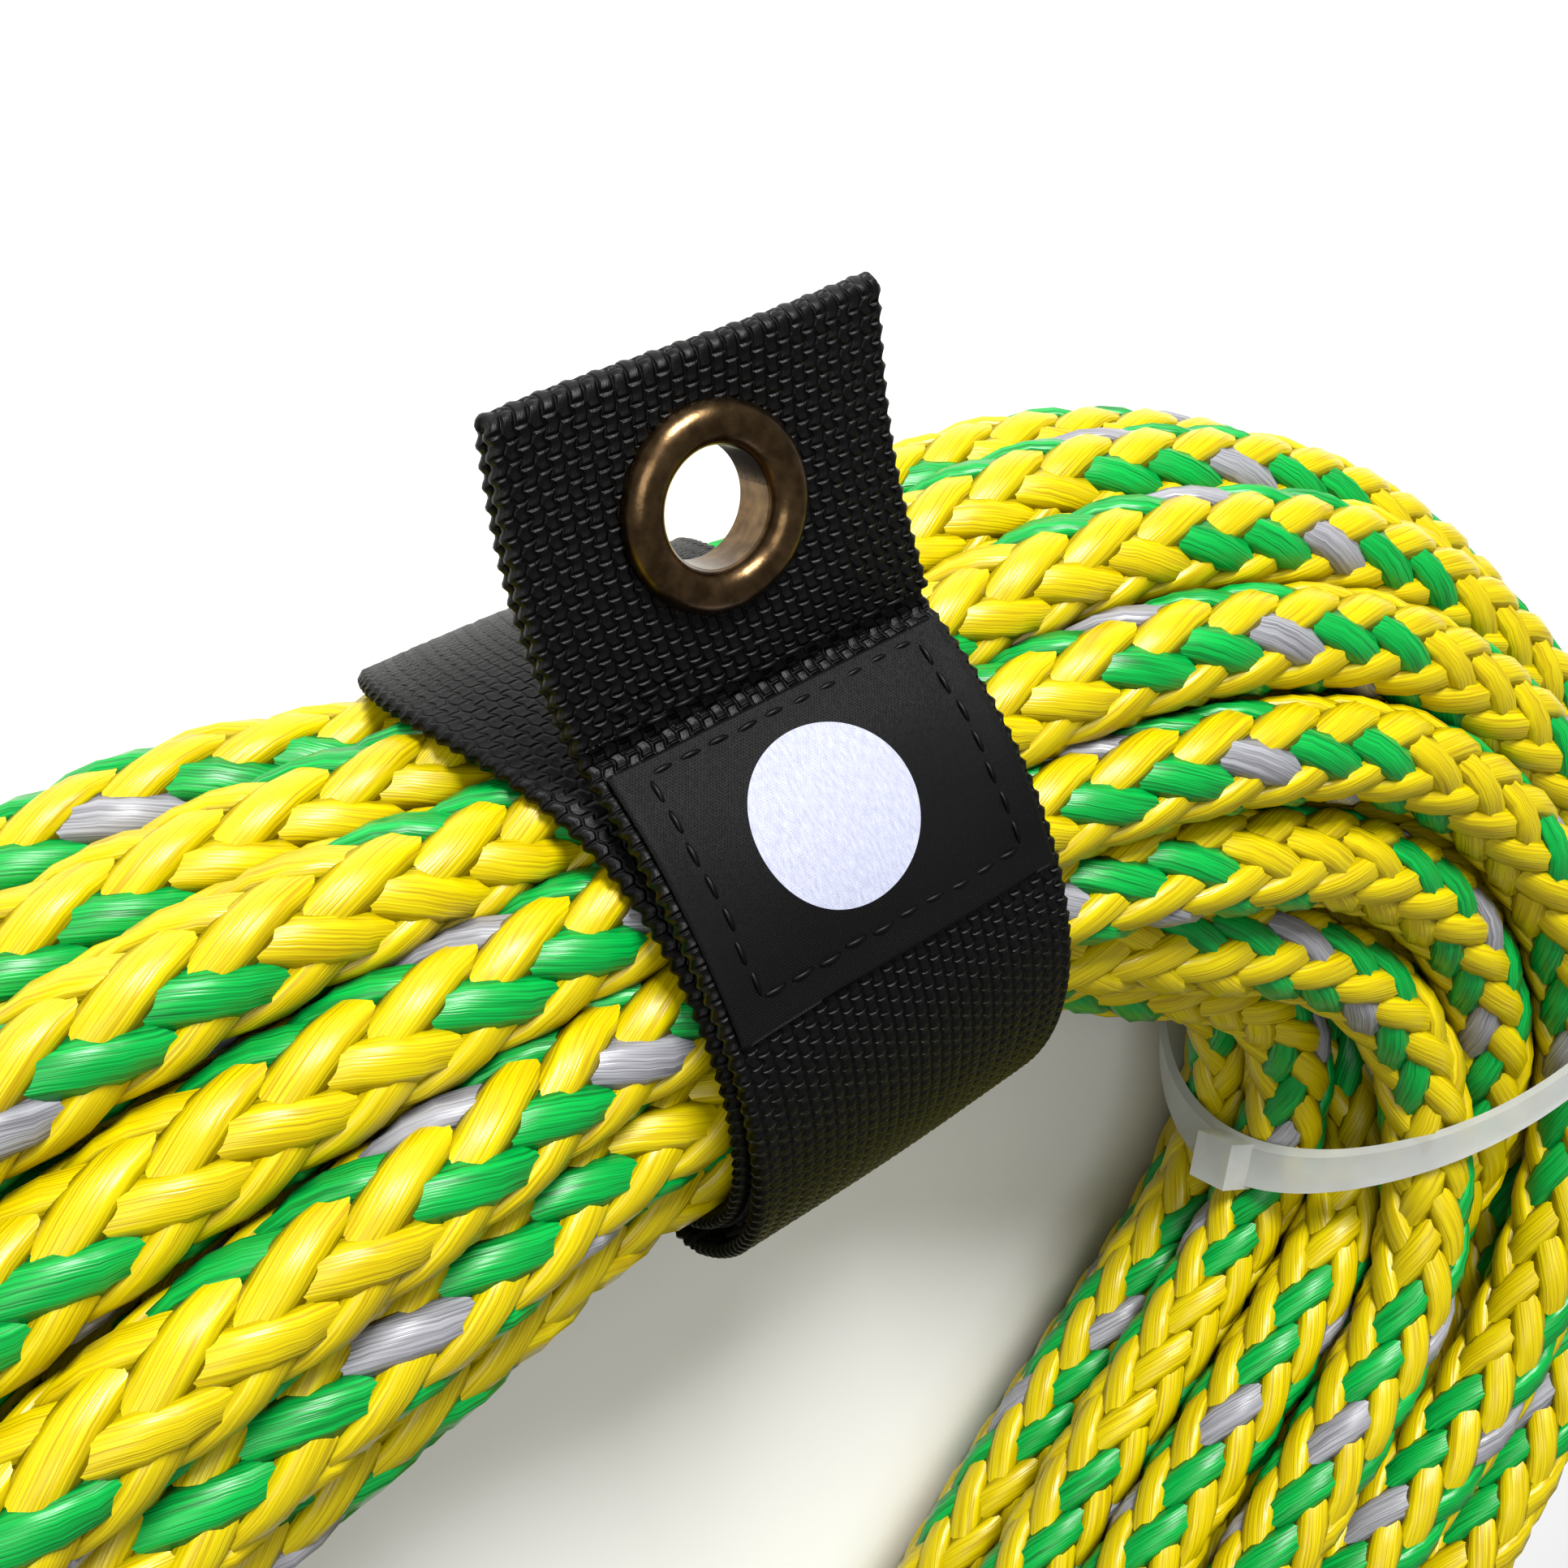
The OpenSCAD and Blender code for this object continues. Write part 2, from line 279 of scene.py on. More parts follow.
def rope_route():
    """The whole rope, from tail to tail, in the frame of the whole part."""
    places = lay_turns()
    line, outward = ring_line(ALONG)
    turns = np.column_stack([line + outward * places[:, :1], places[:, 1]])
    start = eye_route(0.042, 135, 105)
    end = eye_route(0.043, 228, 282)
    lead_in = even_spaced(np.vstack([start, turns[4:12]]), 0.003)
    lead_out = even_spaced(np.vstack([turns[-12:-4], end[::-1]]), 0.003)
    lead_in = soften(lead_in, 2, len(lead_in) - 6, 12)
    lead_in = soften(lead_in, 50, len(lead_in) - 2, 150)
    lead_out = soften(lead_out, 6, len(lead_out) - 2, 12)
    lead_out = soften(lead_out, 2, len(lead_out) - 52, 150)
    whole = np.vstack([lead_in[:-1], even_spaced(turns[11:-11], 0.003), lead_out[1:]])
    whole = soften(whole, 1, len(whole) - 1, 3)
    return even_spaced(whole, 0.0025) + np.array(KEEPER)


ROUTE = rope_route()
RUN = np.concatenate([[0], np.cumsum(np.linalg.norm(np.diff(ROUTE, axis=0), axis=1))])
ROPE_LENGTH = float(RUN[-1])


def rope_frames(points):
    """Directions along, to the side of and square to the rope, carried along without twist."""
    ahead = np.gradient(points, axis=0)
    ahead /= np.linalg.norm(ahead, axis=1)[:, None]
    side = np.zeros_like(points)
    vector = np.cross(ahead[0], [0.0, 0.0, 1.0])
    for i, direction in enumerate(ahead):
        vector = vector - direction * vector.dot(direction)
        vector = vector / math.sqrt(vector.dot(vector))
        side[i] = vector
    return ahead, side, np.cross(ahead, side)


AHEAD, SIDE, SQUARE = rope_frames(ROUTE)

# Where the tail lies inside the rope, the braid swells to the splice's size.
from_end = np.minimum(RUN, ROPE_LENGTH - RUN)
loop_run = 0.190
SWELL = 1 + 0.22 * smooth((from_end - loop_run + 0.008) / 0.012) * smooth(
    (loop_run + 0.046 - from_end) / 0.016
)


def tube_mesh(name, rings, across, along):
    """A closed tube through rings of points, with a UV map that runs across and along it."""
    count, sides = rings.shape[:2]
    corners = np.vstack([rings.reshape(-1, 3), rings[0].mean(0), rings[-1].mean(0)])
    i, j = np.meshgrid(np.arange(count - 1), np.arange(sides), indexing="ij")
    after = (j + 1) % sides
    quads = np.stack(
        [i * sides + j, i * sides + after, (i + 1) * sides + after, (i + 1) * sides + j], -1
    ).reshape(-1, 4)
    k = np.arange(sides)
    tail, head = count * sides, count * sides + 1
    start = np.stack([np.full(sides, tail), (k + 1) % sides, k], 1)
    base = (count - 1) * sides
    finish = np.stack([np.full(sides, head), base + k, base + (k + 1) % sides], 1)
    mesh = bpy.data.meshes.new(name)
    loops = np.concatenate([quads.ravel(), start.ravel(), finish.ravel()])
    sizes = np.concatenate([np.full(len(quads), 4), np.full(2 * sides, 3)])
    mesh.vertices.add(len(corners))
    mesh.vertices.foreach_set("co", corners.astype(np.float32).ravel())
    mesh.loops.add(len(loops))
    mesh.loops.foreach_set("vertex_index", loops.astype(np.int32))
    mesh.polygons.add(len(sizes))
    starts = np.concatenate([[0], np.cumsum(sizes)[:-1]])
    mesh.polygons.foreach_set("loop_start", starts.astype(np.int32))
    mesh.polygons.foreach_set("use_smooth", np.ones(len(sizes), bool))
    uv = mesh.uv_layers.new(name="UVMap")
    run_at = np.concatenate([np.repeat(along, sides), [along[0], along[-1]]])
    width_at = np.concatenate([np.tile(across, count), [0.5, 0.5]])
    uv.data.foreach_set(
        "uv", np.stack([width_at[loops], run_at[loops]], 1).astype(np.float32).ravel()
    )
    mesh.update(calc_edges=True)
    mesh.validate()
    piece = bpy.data.objects.new(name, mesh)
    scene.collection.objects.link(piece)
    return piece


# ---------------------------------------------------------------------------
# The rope: a hollow braid of sixteen strands around a dark core tube, painted shade for the braid's
# hollow
# ---------------------------------------------------------------------------

PITCH = 0.074
BRAID_MIDDLE = 0.00485
BRAID_WAVE = 0.00068
RIBBON = 0.0046
RIBBON_THICK = 0.0014
ACROSS = np.array([-1, -0.45, 0.45, 1, 0.4, -0.4])
RISE = np.array([-0.3, 0.95, 0.95, -0.3, -0.8, -0.8])


def strand(name, hand, number):
    """One flat strand, two over and two under the strands of the other hand."""
    phase = 16 * RUN / PITCH
    weave = (
        np.cos(math.pi * (2 * number + phase - 0.5) / 2)
        if hand > 0
        else np.cos(math.pi * (2 * number - phase - 2.5) / 2)
    )
    weave = np.tanh(0.9 * weave) / math.tanh(0.9)
    angle = 2 * math.pi * number / 8 + hand * 2 * math.pi * RUN / PITCH
    out = np.cos(angle)[:, None] * SIDE + np.sin(angle)[:, None] * SQUARE
    around = np.cross(AHEAD, out)
    radius = SWELL * (BRAID_MIDDLE + BRAID_WAVE * weave)
    middle = ROUTE + radius[:, None] * out
    lean = np.arctan(2 * math.pi * BRAID_MIDDLE * SWELL / PITCH)
    flat = np.cos(lean)[:, None] * around - hand * np.sin(lean)[:, None] * AHEAD
    half = SWELL * (RIBBON / 2 + 0.00022 * weave)
    rings = (
        middle[:, None]
        + (half[:, None] * ACROSS)[..., None] * flat[:, None]
        + (RISE * RIBBON_THICK / 2 - (half[:, None] * ACROSS) ** 2 / (2 * radius[:, None]))[..., None]
        * out[:, None]
    )
    return tube_mesh(name, rings, np.array([0, 0.27, 0.73, 1, 0.7, 0.3]), RUN)


# A tube inside the strands whose dark colour is painted shade, standing for the shadowed hollow of
# the braid.
def rope_inside():
    pick = np.arange(0, len(ROUTE), 2)
    if pick[-1] != len(ROUTE) - 1:
        pick = np.append(pick, len(ROUTE) - 1)
    angles = 2 * math.pi * np.arange(10) / 10
    rings = (
        ROUTE[pick][:, None]
        + 0.0043 * np.cos(angles)[None, :, None] * SIDE[pick][:, None]
        + 0.0043 * np.sin(angles)[None, :, None] * SQUARE[pick][:, None]
    )
    return tube_mesh("rope_inside", rings, np.arange(10) / 10, RUN[pick]), ROUTE[pick]


inside, inside_line = rope_inside()
YELLOW_HAND = ["yellow"] * 8
MIXED_HAND = ["green", "green", "silver", "green", "green", "yellow", "yellow", "yellow"]
strands = []
for n in range(8):
    strands.append((strand(f"strand_left_{n}", -1, n), YELLOW_HAND[n]))
    strands.append((strand(f"strand_right_{n}", 1, n), MIXED_HAND[n]))


# ---------------------------------------------------------------------------
# The keeper: webbing, hook and loop tapes, label and stitches, around the leg
# ---------------------------------------------------------------------------

WEB, WEB_THICK = 0.0381, 0.0014
WRAP_AT, LOOP_AT, HOOK_AT, PANEL_AT, LABEL_AT = 0.0320, 0.0331, 0.0342, 0.0353, 0.03625
ROOT_AT, PEEL_AT, WRAP_TO = 45.0, 162.6, 517.0
TAB_LENGTH, TAB_LAYER = 0.0305, 0.00073
BUMP_WIDE, BUMP_LONG = 0.00127, 0.0016
HOLE_AT, HOLE_ASIDE = 0.0176, -0.0015
TILT = math.radians(7)
ROOT = PANEL_AT * np.array([math.cos(math.radians(ROOT_AT)), math.sin(math.radians(ROOT_AT))])
TAB_OUT = np.array([math.cos(TILT), math.sin(TILT)])
TAB_UP = np.array([-math.sin(TILT), math.cos(TILT)])


def arc(radius, first, last):
    """Points (y, z) around the leg at a radius, which may change along the arc, 0.3 mm apart."""
    count = max(4, int(math.radians(last - first) * 0.034 / 0.0003))
    angles = np.linspace(first, last, count)
    r = radius(angles) if callable(radius) else np.full(count, radius)
    t = np.radians(angles)
    return np.stack([r * np.cos(t), r * np.sin(t)], 1)


def bumps(x, y):
    """Height, from 0 to 1, of the woven bumps of webbing."""
    shift = 0.5 * (np.floor(x / BUMP_WIDE) % 2)
    return np.abs(np.sin(np.pi * x / BUMP_WIDE)) ** 0.8 * np.abs(
        np.sin(np.pi * (y / BUMP_LONG + shift))
    )


def strip(name, line, width, thick, columns, relief, bow, scallop=0.0, skew=None):
    """A flat strip along a line (y, z) square to the leg, with relief on its outer face; bow(x,
    run) moves it outwards and skew(run) along the leg."""
    run = np.concatenate([[0], np.cumsum(np.linalg.norm(np.diff(line, axis=0), axis=1))])
    ahead = np.gradient(line, axis=0)
    ahead /= np.linalg.norm(ahead, axis=1)[:, None]
    out = np.stack([ahead[:, 1], -ahead[:, 0]], 1)
    x = np.linspace(1, -1, columns)
    half = width / 2 + scallop * np.cos(2 * np.pi * run / BUMP_LONG)
    across = half[:, None] * x
    edge = np.clip((1 - np.abs(x)) * width / 2 / (thick / 2), 0, 1)
    round_off = thick / 2 * (0.35 + 0.65 * np.sqrt(1 - (1 - edge) ** 2))
    outer = round_off + relief * bumps(across, run[:, None]) + bow(across, run[:, None])
    inner = -round_off + bow(across, run[:, None])
    rings = np.zeros((len(line), 2 * columns, 3))
    rings[:, :columns, 0] = across
    rings[:, columns:, 0] = across[:, ::-1]
    if skew:
        rings[:, :, 0] += skew(run)[:, None]
    rings[:, :columns, 1:] = line[:, None] + outer[..., None] * out[:, None]
    rings[:, columns:, 1:] = line[:, None] + inner[:, ::-1, None] * out[:, None]
    sides = np.concatenate([x, x[::-1]]) * width / 2
    piece = tube_mesh(name, rings + np.array(KEEPER), sides, run)
    return piece, float(run[-1])


def flat_bow(x, run):
    return 0 * x * run


def wrap_radius(angles):
    return WRAP_AT + (PANEL_AT - WRAP_AT) * smooth((178 - angles) / 13)


def wrap_bow(x, run):
    return 0.00025 * np.sin(run / 0.011 + x / 0.009)


def panel_bow(x, run):
    return 0.0002 * np.sin(run / 0.009 + 1) * np.cos(x / 0.008)


def wrap_skew(run):
    return -0.0085 * np.exp(-(((run - 0.116) / 0.021) ** 2))


def wave_tab(piece):
    """Waves of the tab's two layers together, none around the grommet."""
    count = len(piece.data.vertices)
    corners = np.zeros(count * 3, np.float32)
    piece.data.vertices.foreach_get("co", corners)
    corners = corners.reshape(-1, 3)
    x = corners[:, 0] - KEEPER.x
    along = (corners[:, 1:] - np.array(KEEPER)[1:] - ROOT) @ TAB_OUT
    away = 1 - np.exp(-(((along - HOLE_AT) ** 2 + (x - HOLE_ASIDE) ** 2) / 0.0125**2) ** 2)
    lift = 0.0008 * np.sin(x / 0.0062 + 0.6) + 0.0006 * (x / 0.019) ** 2
    corners[:, 1:] += (away * smooth(along / 0.008) * lift)[:, None] * TAB_UP
    corners[:, 0] += HOLE_ASIDE * np.sin(np.pi * np.clip(along / TAB_LENGTH, 0, 1))
    piece.data.vertices.foreach_set("co", corners.ravel())
    piece.data.update()


def tab_line():
    """Out along the lower layer, around the fold and back along the upper layer."""
    out = np.arange(0.0002, TAB_LENGTH - TAB_LAYER, 0.0003)
    lower = ROOT + out[:, None] * TAB_OUT - (TAB_LAYER * smooth(out / 0.003))[:, None] * TAB_UP
    turn = np.radians(np.linspace(-75, 75, 9))
    tip = ROOT + (TAB_LENGTH - TAB_LAYER) * TAB_OUT
    fold = tip + TAB_LAYER * (np.cos(turn)[:, None] * TAB_OUT + np.sin(turn)[:, None] * TAB_UP)
    back = out[out > 0.0023][::-1]
    upper = ROOT + back[:, None] * TAB_OUT + TAB_LAYER * TAB_UP
    return np.vstack([lower, fold, upper])


def label_bow(x, run):
    hem = np.exp(-((run / 0.0018) ** 2)) + np.exp(-(((run - 0.026) / 0.0018) ** 2))
    side = np.exp(-((((np.abs(x) - 0.0178)) / 0.0016) ** 2))
    return 0.00022 * hem + 0.00015 * side + 0.00012 * np.sin(run / 0.0032) * np.sin(x / 0.0045)


wrap_line = arc(wrap_radius, PEEL_AT + 1.1, WRAP_TO)
wrap_web, wrap_length = strip(
    "keeper_wrap_webbing", wrap_line, WEB, WEB_THICK, 52, 0.00014, wrap_bow, 0.00022, wrap_skew
)
panel_line = arc(PANEL_AT, ROOT_AT, PEEL_AT)
panel_web, panel_length = strip(
    "keeper_panel_webbing", panel_line, WEB, WEB_THICK, 121, 0.00024, panel_bow, 0.00022
)
tab_web, tab_length = strip(
    "keeper_tab_webbing", tab_line(), WEB, 0.00125, 121, 0.00024, flat_bow, 0.00022
)
loop_web, loop_length = strip(
    "loop_tape_strip", arc(LOOP_AT, 49, 151), 0.0351, 0.0008, 30, 0.00005, flat_bow
)
hook_web, hook_length = strip(
    "hook_tape_strip", arc(HOOK_AT, 49, 151), 0.0351, 0.0008, 30, 0.00005, flat_bow
)
label_web, _ = strip(
    "label_patch_satin", arc(LABEL_AT, 48.2, 89.0), 0.0361, 0.0005, 80, 0.0, label_bow
)

wave_tab(tab_web)

bpy.ops.object.select_all(action="DESELECT")
hole_middle = ROOT + HOLE_AT * TAB_OUT
bpy.ops.mesh.primitive_cylinder_add(
    vertices=64,
    radius=0.00575,
    depth=0.02,
    location=place((HOLE_ASIDE, hole_middle[0], hole_middle[1])),
    rotation=(TILT, 0, 0),
)
punch = bpy.context.active_object
bpy.ops.object.select_all(action="DESELECT")
bpy.context.view_layer.objects.active = tab_web
tab_web.select_set(True)
cut = tab_web.modifiers.new("hole", "BOOLEAN")
cut.operation = "DIFFERENCE"
cut.object = punch
cut.solver = "EXACT"
bpy.ops.object.modifier_apply(modifier=cut.name)
bpy.data.objects.remove(punch)


def stitches(name, places, thread=0.00052):
    """Stitches of thread: each a short arch, from (middle, along, out, length)."""
    sides, arch = 7, np.linspace(-1, 1, 7)
    rings_of, corners, faces = len(arch), [], []
    for middle, along, out, length in places:
        along, out = Vector(along).normalized(), Vector(out).normalized()
        aside = np.array(along.cross(out))
        along, out, middle = np.array(along), np.array(out), np.array(middle)
        base = len(corners)
        for t in arch:
            centre = middle + along * t * length / 2 + out * thread * (0.25 - 0.55 * t**2)
            size = thread / 2 * (1 - 0.25 * t**2)
            for k in range(sides):
                a = 2 * math.pi * k / sides
                corners.append(centre + size * (math.cos(a) * aside + math.sin(a) * out))
        for i in range(rings_of - 1):
            for k in range(sides):
                n = (k + 1) % sides
                here, above = base + i * sides, base + (i + 1) * sides
                faces.append((here + k, here + n, above + n, above + k))
        faces.append(tuple(base + k for k in range(sides))[::-1])
        faces.append(tuple(base + (rings_of - 1) * sides + k for k in range(sides)))
    mesh = bpy.data.meshes.new(name)
    mesh.from_pydata([tuple(c) for c in corners], [], faces)
    mesh.shade_smooth()
    piece = bpy.data.objects.new(name, mesh)
    scene.collection.objects.link(piece)
    return piece


STITCH = 0.0023
STITCH_PITCH = 0.0029


def box_stitches(radius, first, last, half_width, wander=0.0001):
    """A rectangle of stitches around the leg at a radius, between two angles."""
    rng = np.random.default_rng(7)
    found = []
    count = int(2 * half_width / STITCH_PITCH)
    for degrees in (first, last):
        for i in range(count):
            x = (i + 0.5) / count * 2 * half_width - half_width
            t = math.radians(degrees) + rng.normal(0, wander) / radius
            out = (0, math.cos(t), math.sin(t))
            at = place((x, radius * out[1], radius * out[2]))
            found.append((at, (1, 0.05 * rng.normal(), 0), out, STITCH))
    count = int(math.radians(last - first) * radius / STITCH_PITCH)
    for side in (-1, 1):
        for i in range(count):
            t = math.radians(first + (last - first) * (i + 0.5) / count)
            out = (0, math.cos(t), math.sin(t))
            x = side * half_width + rng.normal(0, wander)
            at = place((x, radius * out[1], radius * out[2]))
            found.append((at, (0, -out[2], out[1]), out, STITCH))
    return found


def tab_stitches():
    """Two rows of stitches across the tab's root, on both of its faces."""
    rng = np.random.default_rng(9)
    found = []
    for along in (0.0024, 0.0048):
        for i in range(11):
            x = (i - 5) * STITCH_PITCH
            for side in (1, -1):
                at = ROOT + (along + rng.normal(0, 0.0001)) * TAB_OUT + side * 0.00148 * TAB_UP
                out = (0, side * TAB_UP[0], side * TAB_UP[1])
                found.append((place((x, at[0], at[1])), (1, 0, 0), out, STITCH))
    return found


label_thread = stitches("label_thread", box_stitches(0.03650, 50.4, 84.2, 0.0148))
hook_thread = stitches("hook_tape_thread", box_stitches(0.03368, 51.5, 148.5, 0.0165), 0.0003)
loop_thread = stitches("loop_tape_thread", box_stitches(0.03352, 51.5, 148.5, 0.0165), 0.0003)
tab_thread = stitches("tab_thread", tab_stitches())


# ---------------------------------------------------------------------------
# Materials
# ---------------------------------------------------------------------------


def braid_material(name, deep, bright, gloss):
    """Flat strand of fine glossy filaments, darkened by painted shade where strands meet."""
    material = bpy.data.materials.new(name)
    material.use_nodes = True
    nodes, links = material.node_tree.nodes, material.node_tree.links
    nodes.clear()

    result = nodes.new("ShaderNodeOutputMaterial")
    result.label = "Strand"
    result.location = (900, 0)
    shader = nodes.new("ShaderNodeBsdfPrincipled")
    shader.label = "Polyethylene"
    shader.location = (600, 0)
    shader.inputs["Roughness"].default_value = gloss
    shader.inputs["Specular IOR Level"].default_value = 0.38
    uv = nodes.new("ShaderNodeTexCoord")
    uv.label = "Across and along the strand"
    uv.location = (-800, 0)

    filaments = nodes.new("NodeFrame")
    filaments.label = "Filaments"
    stretch = nodes.new("ShaderNodeMapping")
    stretch.label = "Long thin filaments"
    stretch.location = (-600, -200)
    stretch.parent = filaments
    stretch.inputs["Scale"].default_value = (26, 90, 1)
    streaks = nodes.new("ShaderNodeTexNoise")
    streaks.label = "Filament streaks"
    streaks.location = (-400, -200)
    streaks.parent = filaments
    streaks.inputs["Scale"].default_value = 1
    streaks.inputs["Detail"].default_value = 2
    ridges = nodes.new("ShaderNodeBump")
    ridges.label = "Filament ridges"
    ridges.location = (-100, -300)
    ridges.parent = filaments
    ridges.inputs["Strength"].default_value = 0.45
    ridges.inputs["Distance"].default_value = 0.0002

    colour = nodes.new("NodeFrame")
    colour.label = "Colour"
    tint = nodes.new("ShaderNodeValToRGB")
    tint.label = "Deep to bright"
    tint.location = (-100, 0)
    tint.parent = colour
    tint.color_ramp.elements[0].position = 0.30
    tint.color_ramp.elements[0].color = (*deep, 1)
    tint.color_ramp.elements[1].position = 0.60
    tint.color_ramp.elements[1].color = (*bright, 1)
    # Painted shade: ambient occlusion darkens the strand's colour where strands meet, shade painted
    # into the creases between them.
    crease = nodes.new("ShaderNodeAmbientOcclusion")
    crease.label = "Where strands meet"
    crease.location = (-100, 300)
    crease.parent = colour
    crease.samples = 4
    crease.inputs["Distance"].default_value = 0.0016
    darken = nodes.new("ShaderNodeMapRange")
    darken.label = "Painted shade in the creases"
    darken.location = (100, 300)
    darken.parent = colour
    darken.inputs["From Min"].default_value = 0.15
    darken.inputs["From Max"].default_value = 0.75
    darken.inputs["To Min"].default_value = 0.35
    crease_shaded = nodes.new("ShaderNodeMix")
    crease_shaded.label = "Strand with painted crease shade"
    crease_shaded.location = (350, 100)
    crease_shaded.parent = colour
    crease_shaded.data_type = "RGBA"
    crease_shaded.blend_type = "MULTIPLY"
    crease_shaded.inputs["Factor"].default_value = 1

    links.new(uv.outputs["UV"], stretch.inputs["Vector"])
    links.new(stretch.outputs["Vector"], streaks.inputs["Vector"])
    links.new(streaks.outputs["Fac"], tint.inputs["Fac"])
    links.new(streaks.outputs["Fac"], ridges.inputs["Height"])
    links.new(crease.outputs["AO"], darken.inputs["Value"])
    links.new(tint.outputs["Color"], crease_shaded.inputs["A"])
    links.new(darken.outputs["Result"], crease_shaded.inputs["B"])
    links.new(crease_shaded.outputs["Result"], shader.inputs["Base Color"])
    links.new(ridges.outputs["Normal"], shader.inputs["Normal"])
    links.new(shader.outputs["BSDF"], result.inputs["Surface"])
    return material


def cloth_material(name, deep, bright, wide, long, depth, rough, sheen):
    """Black cloth whose yarns stand out in staggered bumps, with painted shade in the gaps between
    them.
    """
    material = bpy.data.materials.new(name)
    material.use_nodes = True
    nodes, links = material.node_tree.nodes, material.node_tree.links
    nodes.clear()

    result = nodes.new("ShaderNodeOutputMaterial")
    result.label = "Cloth"
    result.location = (1200, 0)
    shader = nodes.new("ShaderNodeBsdfPrincipled")
    shader.label = "Yarn"
    shader.location = (900, 0)
    shader.inputs["Roughness"].default_value = rough
    shader.inputs["Specular IOR Level"].default_value = 0.16
    shader.inputs["Sheen Weight"].default_value = sheen
    shader.inputs["Sheen Roughness"].default_value = 0.4
    uv = nodes.new("ShaderNodeTexCoord")
    uv.label = "Across and along the cloth"
    uv.location = (-1000, 0)

    weave = nodes.new("NodeFrame")
    weave.label = "Weave"
    turn = nodes.new("ShaderNodeMapping")
    turn.label = "Columns along the cloth"
    turn.location = (-800, 0)
    turn.parent = weave
    turn.inputs["Rotation"].default_value = (0, 0, math.pi / 2)
    cells = nodes.new("ShaderNodeTexBrick")
    cells.label = "Staggered bumps"
    cells.location = (-600, 0)
    cells.parent = weave
    cells.inputs["Scale"].default_value = 1
    cells.inputs["Brick Width"].default_value = long
    cells.inputs["Row Height"].default_value = wide
    cells.inputs["Mortar Size"].default_value = 0.22 * wide
    cells.inputs["Mortar Smooth"].default_value = 1.0
    cells.inputs["Color1"].default_value = (1, 1, 1, 1)
    cells.inputs["Color2"].default_value = (0.75, 0.75, 0.75, 1)
    cells.inputs["Mortar"].default_value = (0, 0, 0, 1)
    relief = nodes.new("ShaderNodeBump")
    relief.label = "Bumps of the weave"
    relief.location = (300, -200)
    relief.parent = weave
    relief.inputs["Strength"].default_value = 0.9
    relief.inputs["Distance"].default_value = depth

    yarn = nodes.new("NodeFrame")
    yarn.label = "Yarn fibres"
    fine = nodes.new("ShaderNodeMapping")
    fine.label = "Fibres"
    fine.location = (-600, -400)
    fine.parent = yarn
    fine.inputs["Scale"].default_value = (9000, 3000, 1)
    fuzz = nodes.new("ShaderNodeTexNoise")
    fuzz.label = "Fuzz"
    fuzz.location = (-400, -400)
    fuzz.parent = yarn
    fuzz.inputs["Scale"].default_value = 1
    fuzz.inputs["Detail"].default_value = 2
    fibres = nodes.new("ShaderNodeBump")
    fibres.label = "Fibre relief"
    fibres.location = (550, -300)
    fibres.parent = yarn
    fibres.inputs["Strength"].default_value = 0.4
    fibres.inputs["Distance"].default_value = 0.00012

    colour = nodes.new("NodeFrame")
    colour.label = "Colour"
    # Painted shade: the gaps between bumps take the deep colour and the yarn tops the bright one.
    tint = nodes.new("ShaderNodeMix")
    tint.label = "Painted shade in gaps to yarn tops"
    tint.location = (300, 200)
    tint.parent = colour
    tint.data_type = "RGBA"
    tint.inputs["A"].default_value = (*deep, 1)
    tint.inputs["B"].default_value = (*bright, 1)

    links.new(uv.outputs["UV"], turn.inputs["Vector"])
    links.new(turn.outputs["Vector"], cells.inputs["Vector"])
    links.new(uv.outputs["UV"], fine.inputs["Vector"])
    links.new(fine.outputs["Vector"], fuzz.inputs["Vector"])
    links.new(cells.outputs["Color"], tint.inputs["Factor"])
    links.new(cells.outputs["Color"], relief.inputs["Height"])
    links.new(relief.outputs["Normal"], fibres.inputs["Normal"])
    links.new(fuzz.outputs["Fac"], fibres.inputs["Height"])
    links.new(tint.outputs["Result"], shader.inputs["Base Color"])
    links.new(fibres.outputs["Normal"], shader.inputs["Normal"])
    links.new(shader.outputs["BSDF"], result.inputs["Surface"])
    return material


BRAID = {
    "yellow": braid_material("braid_yellow", (0.38, 0.25, 0.0), (0.60, 0.49, 0.0), 0.31),
    "green": braid_material("braid_green", (0.0, 0.12, 0.015), (0.0, 0.36, 0.05), 0.32),
    "silver": braid_material("braid_silver", (0.12, 0.12, 0.13), (0.31, 0.31, 0.335), 0.31),
}
webbing_black = cloth_material(
    "webbing_black",
    (0.0004, 0.0004, 0.0004),
    (0.0020, 0.0020, 0.0021),
    0.00127,
    0.0016,
    0.0003,
    0.40,
    0.0,
)
tape_black = cloth_material(
    "tape_black", (0.001, 0.001, 0.001), (0.004, 0.004, 0.004), 0.0008, 0.0005, 0.0002, 0.8, 0.02
)
satin_label = cloth_material(
    "label_satin",
    (0.0005, 0.0005, 0.0006),
    (0.0014, 0.0014, 0.0016),
    0.00016,
    0.00050,
    0.00003,
    0.55,
    0.0,
)
thread_black = cloth_material(
    "thread_black", (0.001, 0.001, 0.001), (0.0035, 0.0035, 0.004), 0.0004, 0.0003, 0.00005, 0.45, 0.0
)

